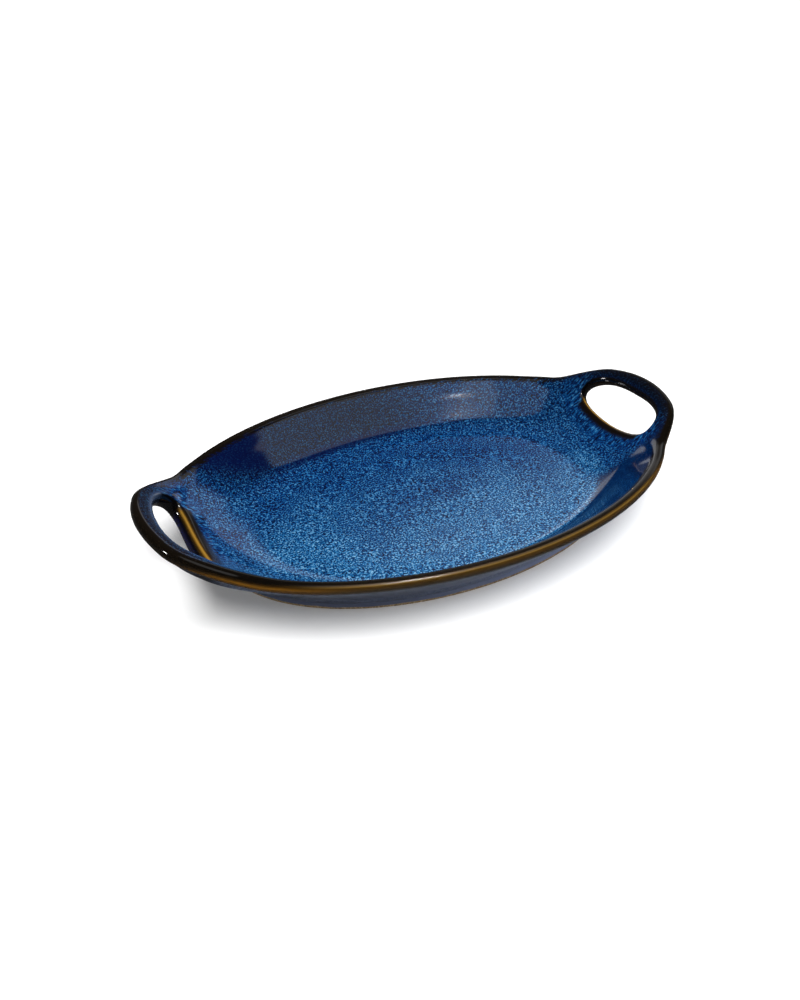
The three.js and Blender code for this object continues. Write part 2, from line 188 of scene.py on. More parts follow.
def hole_place(share, reach, roundness):
    """Places on the edge of the right hole, at shares of its half width."""
    x = HOLE_WIDEST + reach * np.sqrt(1 - share ** roundness)
    return place_at(x, HOLE_HALF_WIDTH * share)


def floor_and_wall(run, floor, fillet):
    """Height of a flat floor that turns through a fillet into a sloping wall."""
    reach = fillet * math.tan(WALL_ANGLE / 2)
    arc = floor + fillet - np.sqrt(np.maximum(fillet ** 2 - (run + reach) ** 2, 0))
    wall = floor + run * WALL_SLOPE
    turned = np.where(run >= reach * math.cos(WALL_ANGLE), wall, arc)
    return np.where(run <= -reach, floor, turned)


def face_height(level, floor, fillet, lift):
    """The same, for a face whose wall lies lift above the middle of the clay."""
    shift = (floor - FLOOR_MIDDLE - lift) / WALL_SLOPE
    return floor_and_wall(level * WALL_RUN - shift, floor, fillet)


def soft_min(a, b, width):
    """The lower of two heights, rounded where they cross."""
    share = np.clip(0.5 + (b - a) / width / 2, 0, 1)
    return b + (a - b) * share - width * share * (1 - share)


def strap_height(x):
    """Height of the rim, which climbs towards the tips of the handles."""
    along = np.maximum(np.abs(x) - HANDLE_RISE_START, 0) / (HANDLE_TIP - HANDLE_RISE_START)
    return RIM_HEIGHT + HANDLE_RISE * along ** 2


def clay_middle(angle, level):
    """Middle of the clay: the wall, steeper past the rim oval, blended into the rim and the straps."""
    x, y = plan_point(angle, level)
    wall = floor_and_wall(level * WALL_RUN, FLOOR_MIDDLE, UNDER_FILLET)
    neck = smooth_step(np.abs(x), HANDLE_RISE_START, END_EDGE)
    steepening = lerp(RIM_STEEPENING, NECK_STEEPENING, neck)
    past_rim = -soft_min(1 - level, 0, lerp(RIM_EASE, NECK_EASE, neck))
    beyond = past_rim * WALL_RUN * WALL_SLOPE * (steepening - 1)
    blend = lerp(RIM_BLEND, NECK_BLEND, neck)
    z = soft_min(wall + beyond, strap_height(x) + RIM_BLEND / 4, blend)
    return np.stack([x, y, z], -1)


def unit(vectors):
    """Vectors of length 1."""
    return vectors / np.linalg.norm(vectors, axis=-1, keepdims=True)


def clay_normal(angle, level):
    """Direction square to the middle of the clay, upwards."""
    round_dish = clay_middle(angle + SLOPE_STEP, level) - clay_middle(angle - SLOPE_STEP, level)
    outward = clay_middle(angle, level + SLOPE_STEP) - clay_middle(angle, level - SLOPE_STEP)
    return unit(np.cross(outward, round_dish))


def strap_share(angle, level):
    """0 in the dish, 1 in the strap of a handle."""
    x = np.abs(plan_point(angle, level)[0])
    return smooth_step(x, HANDLE_RISE_START, END_EDGE) * smooth_step(level, STRAP_ROOT_LEVEL, 1)


def half_thickness(angle, level):
    """Half the thickness of the clay, square to its middle."""
    return lerp(WALL_THICKNESS, STRAP_THICKNESS, strap_share(angle, level)) / 2


def floor_dip(x, y):
    """Height of the dipped floor over a flat one."""
    outward = (x / FLOOR_HALF_LENGTH) ** 2 + (y / FLOOR_HALF_WIDTH) ** 2
    return FLOOR_DIP * (soft_min(outward, 1, DIP_FADE) - 1)


def face_point(angle, level, edge_level, side, hang):
    """Upper (side 1) or lower (side -1) face. Near an edge it stands square off the middle of the clay;
    hang is how much further the lower face lies below it."""
    centre = clay_middle(angle, level)
    offset = half_thickness(angle, level) if side > 0 else -half_thickness(angle, level) - hang
    square = centre + clay_normal(angle, level) * offset[:, None]
    inside_fillet = lerp(SIDE_FILLET, END_FILLET, np.cos(fold_angle(angle)) ** FILLET_CHANGE)
    upright = centre.copy()
    if side > 0:
        upright[:, 2] = face_height(level, FLOOR_TOP, inside_fillet, WALL_LIFT)
        upright[:, 2] += floor_dip(centre[:, 0], centre[:, 1])
    else:
        skirt = UNDERSIDE + SKIRT_SLOPE * np.maximum(level * WALL_RUN - FOOT_OUTSET - FOOT_FLARE, 0)
        upright[:, 2] = np.minimum(face_height(level, UNDERSIDE, UNDER_FILLET, -WALL_LIFT), skirt)
    share = smooth_step(level / edge_level, SQUARE_FROM, SQUARE_BY)
    return lerp(upright, square, share[:, None])


# The skin is laid out in columns, from the floor out to the rim, all round the dish

def all_round(quarter, turn_half, turn_back):
    """Column values of a quarter, repeated round the dish."""
    half = np.concatenate([quarter, turn_half(quarter[-2::-1])])
    return np.concatenate([half, turn_back(half[-2:0:-1])])


class Columns:
    """Angles and levels of the columns. At a hole a column has two edges, the dish's and the strap's."""

    def __init__(self):
        hole = np.arange(HOLE_COLUMNS + 1) / HOLE_COLUMNS
        share = np.sin(math.pi / 2 * hole)
        corner_angle, corner_level = place_at(np.array(HOLE_WIDEST), np.array(HOLE_HALF_WIDTH))
        dish = hole_place(share, END_EDGE - HOLE_WIDEST, HOLE_INNER_ROUNDNESS)
        strap = hole_place(share, HOLE_TIP - HOLE_WIDEST, HOLE_OUTER_ROUNDNESS)
        spread = corner_angle * lerp(1, COLUMN_FAN, share ** 2) * hole
        side = np.arange(1, SIDE_COLUMNS + 1) / SIDE_COLUMNS
        side_angle = lerp(corner_angle, math.pi / 2, side ** SIDE_COLUMN_GROWTH)
        side_spread = lerp(corner_angle * COLUMN_FAN, math.pi / 2, side)
        fade = smooth_step((side_angle - corner_angle) / STRAP_ROOT_FADE)
        side_level = lerp(corner_level, STRAP_ROOT_LEVEL, fade)
        self.spread = self.angles(np.concatenate([spread, side_spread]))
        self.dish_angle = self.angles(np.concatenate([dish[0], side_angle]))
        self.dish_level = self.levels(np.concatenate([dish[1], side_level]))
        self.strap_angle = self.angles(np.concatenate([strap[0], side_angle]))
        self.strap_level = self.levels(np.concatenate([strap[1], side_level]))
        self.rim_level = outline_level(self.spread)
        root_drop = NECK_DROP * (1 - fade)
        lip_drop = lerp(END_LIP_DROP, NECK_DROP, share ** END_LIP_SQUARENESS)
        loop_drop = NECK_DROP * share ** NECK_DROP_SQUARENESS
        self.dish_drop = self.levels(np.concatenate([lip_drop, root_drop]))
        self.strap_drop = self.levels(np.concatenate([loop_drop, root_drop]))
        self.open = self.levels(np.concatenate([hole < 1, np.zeros(SIDE_COLUMNS, bool)]))
        self.count = len(self.spread)

    @staticmethod
    def angles(quarter):
        return all_round(quarter, lambda a: math.pi - a, lambda a: -a)

    @staticmethod
    def levels(quarter):
        return all_round(quarter, lambda v: v, lambda v: v)

    def hole_loops(self):
        """Each hole's edge: column numbers, and whether the edge there is the strap's."""
        there = np.arange(-HOLE_COLUMNS, HOLE_COLUMNS + 1)
        back = np.arange(HOLE_COLUMNS - 1, -HOLE_COLUMNS, -1)
        on_strap = np.concatenate([np.zeros(len(there), bool), np.ones(len(back), bool)])
        for middle in (0, self.count // 2):
            yield (middle + np.concatenate([there, back])) % self.count, on_strap


class Skin:
    """Points and faces of the closed skin, with the turn of the clay's face at each point:
    0 on the upper face, 1 on the lower face, and between these on a rolled edge."""

    def __init__(self):
        self.points = []
        self.turns = []
        self.faces = []

    def add(self, points, turn):
        """Adds points and gives their numbers."""
        first = len(self.points)
        self.points.extend(points.tolist())
        self.turns.extend([turn] * len(points))
        return np.arange(first, first + len(points))

    def strip(self, row_a, row_b, side=1):
        """Faces between two rows; those of the lower face (side -1) are turned over."""
        if side < 0:
            row_a, row_b = row_b, row_a
        quads = np.stack([row_a, row_b, np.roll(row_b, -1), np.roll(row_a, -1)], -1)
        for quad in quads.tolist():
            corners = list(dict.fromkeys(quad))
            if len(corners) > 2:
                self.faces.append(corners)


def roll_edge(skin, angle, level, drop, upper_row, lower_row):
    """Half-round edge along a closed line of places, from the upper face to the lower face;
    half oval where it hangs down further by drop."""
    centres = clay_middle(angle, level)
    normals = clay_normal(angle, level)
    radii = half_thickness(angle, level)[:, None]
    along = np.roll(centres, -1, 0) - np.roll(centres, 1, 0)
    outs = unit(np.cross(along, normals))
    hang = drop[:, None] / 2
    row = upper_row
    for i in range(1, EDGE_ROWS):
        turn = math.pi * i / EDGE_ROWS
        rise = (radii + hang) * math.cos(turn) - hang
        points = centres + normals * rise + outs * radii * math.sin(turn)
        next_row = skin.add(points, i / EDGE_ROWS)
        skin.strip(row, next_row)
        row = next_row
    skin.strip(row, lower_row)


def body_skin(columns):
    """Dish and handles in one skin, before it is parted at the joints."""
    skin = Skin()
    edges = {}
    even = np.zeros(columns.count)
    for side in (1, -1):
        turn = 0.0 if side > 0 else 1.0
        floor_x, floor_y = plan_point(columns.spread, FLAT_FLOOR_LEVEL)
        middle = [0.0, 0.0, FLOOR_TOP + floor_dip(0, 0) if side > 0 else UNDERSIDE]
        row = np.repeat(skin.add(np.array([middle]), turn), columns.count)
        for i in range(1, FLOOR_ROWS):
            x = floor_x * i / FLOOR_ROWS
            y = floor_y * i / FLOOR_ROWS
            z = FLOOR_TOP + floor_dip(x, y) if side > 0 else np.full(columns.count, UNDERSIDE)
            next_row = skin.add(np.stack([x, y, z], -1), turn)
            skin.strip(row, next_row, side)
            row = next_row
        dish_end = np.where(columns.open, columns.dish_level, columns.rim_level)
        for i in range(WALL_ROWS + 1):
            share = i / WALL_ROWS
            angle = lerp(columns.spread, columns.dish_angle, share)
            level = lerp(FLAT_FLOOR_LEVEL, columns.dish_level, share)
            hang = columns.dish_drop * smooth_step(level / columns.dish_level, END_LIP_FROM, 1)
            next_row = skin.add(face_point(angle, level, dish_end, side, hang), turn)
            skin.strip(row, next_row, side)
            row = next_row
        dish_row = row
        strap_end = np.where(columns.open, columns.strap_level, columns.rim_level)
        strap_points = face_point(
            columns.strap_angle, columns.strap_level, strap_end, side, columns.strap_drop)
        strap_row = np.where(columns.open, skin.add(strap_points, turn), dish_row)
        row = strap_row
        for i in range(1, STRAP_ROWS + 1):
            share = i / STRAP_ROWS
            angle = lerp(columns.strap_angle, columns.spread, share)
            level = lerp(columns.strap_level, columns.rim_level, share)
            hang = columns.strap_drop * (1 - smooth_step(share))
            next_row = skin.add(face_point(angle, level, strap_end, side, hang), turn)
            skin.strip(row, next_row, side)
            row = next_row
        edges[side] = {"dish": dish_row, "strap": strap_row, "rim": row}
    roll_edge(skin, columns.spread, columns.rim_level, even, edges[1]["rim"], edges[-1]["rim"])
    for loop, on_strap in columns.hole_loops():
        angle = np.where(on_strap, columns.strap_angle[loop], columns.dish_angle[loop])
        level = np.where(on_strap, columns.strap_level[loop], columns.dish_level[loop])
        upper, lower = [
            np.where(on_strap, edges[side]["strap"][loop], edges[side]["dish"][loop]) for side in (1, -1)]
        drop = np.where(on_strap, columns.strap_drop[loop], columns.dish_drop[loop])
        roll_edge(skin, angle, level, drop, upper, lower)
    return skin


def nearest_distance(points, line):
    """Distance from each point to the nearest point of a line of points."""
    nearest = np.full(len(points), np.inf)
    for place in line:
        nearest = np.minimum(nearest, np.linalg.norm(points - place, axis=1))
    return nearest


def skin_mesh():
    """The skin as a mesh, with what its glaze follows kept as attributes of its points, in millimetres."""
    columns = Columns()
    skin = body_skin(columns)
    points = np.array(skin.points)
    mesh = bpy.data.meshes.new("platter_skin")
    mesh.from_pydata((points * MM).tolist(), [], skin.faces)
    opened = columns.open
    end_edge = clay_middle(columns.dish_angle[opened], columns.dish_level[opened])
    rim = clay_middle(columns.spread, columns.rim_level)
    facts = {
        "turn": np.array(skin.turns),
        "from_rim": nearest_distance(points, rim),
        "from_end_edge": nearest_distance(points, end_edge),
        "strap": strap_share(*place_at(np.abs(points[:, 0]), np.abs(points[:, 1]))),
    }
    for name, values in facts.items():
        mesh.attributes.new(name, "FLOAT", "POINT").data.foreach_set("value", values)
    normals = np.zeros(len(points) * 3)
    mesh.vertex_normals.foreach_get("vector", normals)
    mesh.attributes.new("skin_normal", "FLOAT_VECTOR", "POINT").data.foreach_set("vector", normals)
    return mesh


def skin_piece(name, skin, from_x, to_x, material):
    """The skin between two places along the length, closed flat where it is parted."""
    shape = bmesh.new()
    shape.from_mesh(skin)
    loose = [v for v in shape.verts if not v.link_faces]
    bmesh.ops.delete(shape, geom=loose, context="VERTS")
    for x, keep in ((from_x, 1), (to_x, -1)):
        everything = shape.verts[:] + shape.edges[:] + shape.faces[:]
        bmesh.ops.bisect_plane(
            shape, geom=everything, plane_co=(x * MM, 0, 0), plane_no=(keep, 0, 0), clear_inner=True
        )
    skin_faces = len(shape.faces)
    bmesh.ops.holes_fill(shape, edges=[e for e in shape.edges if e.is_boundary], sides=0)
    mesh = bpy.data.meshes.new(name)
    shape.to_mesh(mesh)
    shape.free()
    mesh.shade_smooth()
    kept = np.zeros(len(mesh.vertices) * 3)
    mesh.attributes["skin_normal"].data.foreach_get("vector", kept)
    kept = unit(kept.reshape(-1, 3))
    corners = np.zeros((len(mesh.loops), 3))
    for polygon in mesh.polygons:
        for loop in polygon.loop_indices:
            on_skin = polygon.index < skin_faces
            corners[loop] = kept[mesh.loops[loop].vertex_index] if on_skin else polygon.normal
    mesh.normals_split_custom_set(corners.tolist())
    mesh.attributes.remove(mesh.attributes["skin_normal"])
    mesh.materials.append(material)
    piece = bpy.data.objects.new(name, mesh)
    bpy.context.scene.collection.objects.link(piece)
    return piece


# Colours and finishes

RANGE = "ShaderNodeMapRange"
MIX = "ShaderNodeMixRGB"
MATH = "ShaderNodeMath"
RAMP = "ShaderNodeValToRGB"
NOISE = "ShaderNodeTexNoise"
SMOOTH = {"interpolation_type": "SMOOTHSTEP"}


def srgb(code):
    """Linear colour of an sRGB hex code."""
    shares = [int(code[i:i + 2], 16) / 255 for i in (1, 3, 5)]
    return [s / 12.92 if s <= 0.04045 else ((s + 0.055) / 1.055) ** 2.4 for s in shares] + [1.0]


def set_inputs(tree, node, inputs):
    """Sets inputs of a node to values, to hex colours, to sockets or to the first output of other nodes."""
    for name, value in inputs.items():
        if isinstance(value, bpy.types.Node):
            value = value.outputs[0]
        if isinstance(value, bpy.types.NodeSocket):
            tree.links.new(value, node.inputs[name])
        else:
            node.inputs[name].default_value = srgb(value) if isinstance(value, str) else value


def add_node(tree, kind, inputs=None, stops=None, **settings):
    """Adds a node. Stops, of a position and a hex or linear colour, fill a colour ramp."""
    node = tree.nodes.new(kind)
    for name, value in settings.items():
        setattr(node, name, value)
    set_inputs(tree, node, inputs or {})
    if stops:
        elements = node.color_ramp.elements
        while len(elements) < len(stops):
            elements.new(1.0)
        for element, (position, colour) in zip(elements, stops):
            element.position = position
            element.color = srgb(colour) if isinstance(colour, str) else colour
    return node


def span(pair, base=0.0):
    """Inputs for a change that runs between two values."""
    return {"From Min": base + pair[0], "From Max": base + pair[1]}


def new_material(name):
    """A material, its node tree and its main shader."""
    material = bpy.data.materials.new(name)
    material.use_nodes = True
    return material, material.node_tree, material.node_tree.nodes["Principled BSDF"]


def place_in_mm(tree):
    """The place on a piece in millimetres: whole, and along the length, the width and the height."""
    place = add_node(tree, "ShaderNodeTexCoord").outputs["Object"]
    whole = add_node(tree, "ShaderNodeVectorMath", {0: place, "Scale": 1 / MM}, operation="SCALE")
    return whole, add_node(tree, "ShaderNodeSeparateXYZ", {"Vector": whole}).outputs


# Glaze, in millimetres. A pair gives where a change of colour begins and where it is complete.
SPECKLE = 0.9                      # width of the speckle, drawn coarser than the real one so that it shows
DRIFT = 30.0                       # width of the patches where the melt pooled more or less
STREAK = 1.0                       # width of the streaks beside the end edges
STREAK_STRETCH = (0.16, 1.0, 0.5)  # scale of their pattern along the length, the width and the height
STREAKS_FADE = (4.0, 16.0)         # streaks turning into speckle, from an end edge
WALL_SHADE_RISE = (0.0, 7.0)            # painted shade rising in on the walls above the floor's edge, where the lighter coat stops
WALL_FOOT = (0.3, 1.5)             # the far wall's navy and the near wall's painted reflection setting in, above the floor's edge
NEAR_MIRROR_EDGE = (-4.0, -14.0)         # painted reflection on the near half setting in, along its lean
FAR_NAVY_LEFT = (-60.0, -70.0)     # navy on the far wall setting in, along the length
FAR_NAVY_LOW = (6.0, 2.0)          # and down towards its foot, above the floor's edge
RAGGED = 1.5                       # how far the brown edges wander in and out
RIM_THIN = (3.1, 4.3)              # brown along the rim ending, from the rim's middle
END_THIN = (3.2, 5.2)              # brown along an end edge ending, from the edge's middle
NECK = (116.0, 140.0)              # dish turning into strap, along the length
STRAP_INWARD = (3.4, 5.8)          # strap's outer edge turning into its flat, from the rim's middle
CREST_ROOT = (75.0, 110.0)         # the rim's crest turning into the handle root's, along the length
CREST_NECK = (NECK[0], 146.0)      # and that one into the strap's
CREST_END = (7.0, 9.0)             # crest of an end edge ending, from the edge's middle
END_SHADE = (6.0, 14.0)            # dark underneath an end edge ending, from the edge's middle
LEFT_SHADE = (-70.0, 50.0)         # painted shade on the outside's left ending, along the length
SATIN = (70.0, 130.0)              # satin rim turning glossy, along the length

# The same, where they follow the platter's own sizes
ON_SIDE = (0.5 * FLOOR_HALF_WIDTH, FLOOR_HALF_WIDTH)      # middle turning into a long side
ON_RIGHT = (0.5 * FLOOR_HALF_LENGTH, FLOOR_HALF_LENGTH)   # and into the right end
LEFTWARD = (FLOOR_HALF_LENGTH, -FLOOR_HALF_LENGTH)        # right turning into left
SIDE_SHADE_SPAN = (0.0, 0.6 * FLOOR_HALF_LENGTH)                     # painted shade on the long walls thinning, along the length
LOW_LIGHT_SPAN = (FOOT_HEIGHT, 0.6 * RIM_HEIGHT)                    # painted light low on the outside, from the floor's bounce, ending above the table
HOLE_CORNER = (0.76 * HOLE_HALF_WIDTH, 0.86 * HOLE_HALF_WIDTH)  # end edge turning into a hole corner

# And by the turn over an edge, 0 on the upper face and 1 on the lower
EDGE_TURN = (0.0, 0.12)            # upper face turning into the crest
UNDER_TURN = (0.85, 1.0)           # crest turning into the outside
DULL_TURN = (0.8, 1.0)             # gloss turning dull

# Leans: how a share of colour grows per millimetre of the length, the width and the height
NEAR_LIGHT_LEAN = (-0.0010, -0.0075, 0.0)     # painted light: the coat lighter towards the near side
POOL_AND_LIGHT_SHARE = (0.15, 1.05)
NEAR_MIRROR_LEAN = (0.23, 1.0, 0.0)            # painted reflection: the near half up to a slanting line, whose wall mirrors the dark far wall
FAR_LEAN = (0.006, 0.006, 0.0)          # a little milk at the far right
FAR_SHARE = (0.5, 0.9)
NAVY_LEAN = (0.006, -0.009, 0.0)        # navy at the near right
NAVY_SHARE = (0.4, 0.9)
FAR_NAVY_LEAN = (-0.001, 0.009, 0.0)    # navy at the far left
FAR_NAVY_SHARE = (0.54, 0.64)

# Colours that are used more than once
IRON_BROWN = "#140e09"
HOLE_BLACK = "#050406"
# painted shade on the outside, towards the left
SHADE_BLUE = "#0c1830"

# Roughness of the coat
GLOSSY = 0.08
SATIN_RIM = 0.25
DULL_OUTSIDE = 0.32


class GlazeFacts:
    """What the glaze follows: the place, the clay's attributes, the speckle and what comes of these."""

    def __init__(self, tree):
        add = partial(add_node, tree)
        self.place, self.spot = place_in_mm(tree)
        self.turn, self.from_rim, self.from_end, self.strap = [
            add("ShaderNodeAttribute", attribute_name=name).outputs["Fac"]
            for name in ("turn", "from_rim", "from_end_edge", "strap")
        ]
        self.along = add(MATH, {0: self.spot["X"]}, operation="ABSOLUTE")
        self.across = add(MATH, {0: self.spot["Y"]}, operation="ABSOLUTE")
        self.leftward = add(RANGE, {"Value": self.spot["X"], **span(LEFTWARD)})
        self.corner = add(RANGE, {"Value": self.across, **span(HOLE_CORNER)}, **SMOOTH)
        self.past_neck = add(RANGE, {"Value": self.along, **span(CREST_NECK)}, **SMOOTH)
        self.inward = add(RANGE, {"Value": self.from_rim, **span(STRAP_INWARD)})
        self.on_edge = add(RANGE, {"Value": self.turn, **span(EDGE_TURN)})
        self.speck = add(NOISE, {
            "Vector": self.place, "Scale": 1 / SPECKLE, "Detail": 2.0, "Roughness": 0.6})
        stretched = add("ShaderNodeMapping", {"Vector": self.place, "Scale": STREAK_STRETCH})
        self.streak = add(NOISE, {"Vector": stretched, "Scale": 1 / STREAK, "Detail": 2.0})
        near_end = add(RANGE, {
            "Value": self.from_end, **span(STREAKS_FADE), "To Min": 0.8, "To Max": 0.0}, **SMOOTH)
        self.fleck = add("ShaderNodeMix", {"Factor": near_end, "A": self.speck, "B": self.streak})
        self.deep = add(RAMP, {"Fac": self.fleck}, stops=[
            (0.38, "#000a28"), (0.46, "#011a50"), (0.52, "#043c80"), (0.58, "#0a62a6"), (0.66, "#4a98d0")])
        self.milky = add(RAMP, {"Fac": self.fleck}, stops=[
            (0.37, "#041a38"), (0.45, "#073e78"), (0.52, "#1070b4"), (0.58, "#46a0dc"), (0.65, "#9cd4f2")])


def dish_colour(tree, facts):
    """Inside of the dish: milky in random pooling patches and lighter towards the near side, which is
    painted light. The coat stays deep on the long walls and the right end, which is painted shade, and on
    the near wall, which is a painted reflection of the dark far wall. Painted shade also darkens the long
    walls over the left half, less towards the right, and navy sits at the far left and on the near wall at
    the right."""
    add = partial(add_node, tree)
    near_light_lean, near_mirror_lean, far_lean, navy_lean, far_navy_lean = [
        add("ShaderNodeVectorMath", {0: facts.place, 1: lean}, operation="DOT_PRODUCT").outputs["Value"]
        for lean in (NEAR_LIGHT_LEAN, NEAR_MIRROR_LEAN, FAR_LEAN, NAVY_LEAN, FAR_NAVY_LEAN)
    ]
    height = facts.spot["Z"]
    on_wall = add(RANGE, {"Value": height, **span(WALL_SHADE_RISE, FLOOR_TOP)}, **SMOOTH)
    wall_foot = add(RANGE, {"Value": height, **span(WALL_FOOT, FLOOR_TOP)})
    on_side = add(RANGE, {"Value": facts.across, **span(ON_SIDE)}, **SMOOTH)
    on_right = add(RANGE, {"Value": facts.spot["X"], **span(ON_RIGHT)}, **SMOOTH)

    drift = add(NOISE, {"Vector": facts.place, "Scale": 1 / DRIFT, "Detail": 4.0, "Roughness": 0.6})
    # random pooling, plus painted light that makes the coat lighter towards the near side
    pool_and_light = add(MATH, {0: drift, 1: near_light_lean})
    pooled_and_lit = add(RANGE, {"Value": pool_and_light, **span(POOL_AND_LIGHT_SHARE)}, **SMOOTH)
    # painted shade: the lighter coat stops on the long walls and the right end, which face away from the
    # light
    turned_from_light = add(MATH, {0: on_side, 1: on_right}, operation="MAXIMUM")
    shaded_wall = add(MATH, {0: turned_from_light, 1: on_wall}, operation="MULTIPLY")
    # painted reflection: on the near wall the lighter coat stops at its foot and navy comes in at the right,
    # where it mirrors the dark far wall
    near_mirror_half = add(RANGE, {"Value": near_mirror_lean, **span(NEAR_MIRROR_EDGE), "To Max": 0.5}, **SMOOTH)
    near_mirror_wall = add(MATH, {0: near_mirror_half, 1: wall_foot}, operation="MULTIPLY")
    shade_and_mirror_wall = add(MATH, {0: shaded_wall, 1: near_mirror_wall}, operation="MAXIMUM")
    lit_milk = add(MATH, {0: pooled_and_lit, 1: shade_and_mirror_wall}, operation="SUBTRACT", use_clamp=True)
    far_milk = add(RANGE, {"Value": far_lean, **span(FAR_SHARE), "To Max": 0.15}, **SMOOTH)
    milk_and_light = add(MATH, {0: lit_milk, 1: far_milk}, operation="MAXIMUM")
    coat = add(MIX, {"Fac": milk_and_light, "Color1": facts.deep, "Color2": facts.milky})

    # painted shade: the long walls darkened, most over the left half and thinning towards the right
    side_wall = add(MATH, {0: on_side, 1: on_wall}, operation="MULTIPLY")
    side_shade_share = add(RANGE, {
        "Value": facts.spot["X"], **span(SIDE_SHADE_SPAN), "To Min": 0.65, "To Max": 0.1}, **SMOOTH)
    iron = add(MATH, {0: side_wall, 1: side_shade_share}, operation="MULTIPLY")
    side_shaded_coat = add(MIX, {"Fac": iron, "Color1": coat, "Color2": "#080c14"})

    far_left = add(RANGE, {"Value": far_navy_lean, **span(FAR_NAVY_SHARE), "To Max": 0.8}, **SMOOTH)
    left_wall = add(RANGE, {"Value": facts.spot["X"], **span(FAR_NAVY_LEFT)}, **SMOOTH)
    low_wall = add(RANGE, {"Value": height, **span(FAR_NAVY_LOW, FLOOR_TOP)}, **SMOOTH)
    far_edge = add(MATH, {0: left_wall, 1: low_wall}, operation="MAXIMUM")
    far_foot = add(MATH, {0: far_edge, 1: wall_foot}, operation="MULTIPLY")
    far_navy = add(MATH, {0: far_left, 1: far_foot}, operation="MULTIPLY")
    far_coat = add(MIX, {"Fac": far_navy, "Color1": side_shaded_coat, "Color2": "#020f46"})
    near_right = add(RANGE, {"Value": navy_lean, **span(NAVY_SHARE), "To Max": 1.8}, **SMOOTH)
    near_navy = add(MATH, {0: near_right, 1: near_mirror_wall}, operation="MULTIPLY")
    return add(MIX, {"Fac": near_navy, "Color1": far_coat, "Color2": "#001e4c"})


def upper_colour(tree, facts):
    """Upper face: the dish, the straps, dark outside and grey-blue towards the left hole, which is a painted
    reflection, and ragged iron brown beside the rim and the end edges."""
    add = partial(add_node, tree)
    neck = add(RANGE, {"Value": facts.along, **span(NECK)}, **SMOOTH)
    on_strap = add(MATH, {0: facts.strap, 1: neck}, operation="MULTIPLY")
    strap_deep = add(RAMP, {"Fac": facts.inward}, stops=[
        (0.0, "#100c0a"), (0.4, "#060a16"), (1.0, "#04122e")])
    # brown at the outer edge, then painted reflection: the flat turns grey-blue towards the hole, most on
    # the left strap
    strap_with_mirroring = add(RAMP, {"Fac": facts.inward}, stops=[
        (0.0, "#1a130b"), (0.4, "#1e1f24"), (0.7, "#303a4e"), (1.0, "#4c5c78")])
    strap_coat = add(MIX, {"Fac": facts.leftward, "Color1": strap_deep, "Color2": strap_with_mirroring})
    fleck_share = add(RANGE, {"Value": facts.leftward, "To Min": 0.06, "To Max": 0.18})
    strap_flecked = add(MIX, {"Fac": fleck_share, "Color1": strap_coat, "Color2": facts.deep})
    flowing = add(MIX, {"Fac": on_strap, "Color1": dish_colour(tree, facts), "Color2": strap_flecked})

    ragged = add(MATH, {0: facts.streak, 1: -2 * RAGGED, 2: RAGGED}, operation="MULTIPLY_ADD")
    ragged_rim = add(MATH, {0: facts.from_rim, 1: ragged})
    ragged_end = add(MATH, {0: facts.from_end, 1: ragged})
    thin_dish = add(RANGE, {"Value": ragged_rim, **span(RIM_THIN), "To Min": 1.0, "To Max": 0.0}, **SMOOTH)
    thin_rim = add(MATH, {0: thin_dish, 1: on_strap}, operation="SUBTRACT", use_clamp=True)
    thin_end = add(RANGE, {"Value": ragged_end, **span(END_THIN), "To Min": 1.0, "To Max": 0.0}, **SMOOTH)
    thin_middle = add(MATH, {0: thin_end, 1: facts.corner}, operation="SUBTRACT", use_clamp=True)
    thin = add(MATH, {0: thin_rim, 1: thin_middle}, operation="MAXIMUM")
    return add(MIX, {"Fac": thin, "Color1": flowing, "Color2": IRON_BROWN})


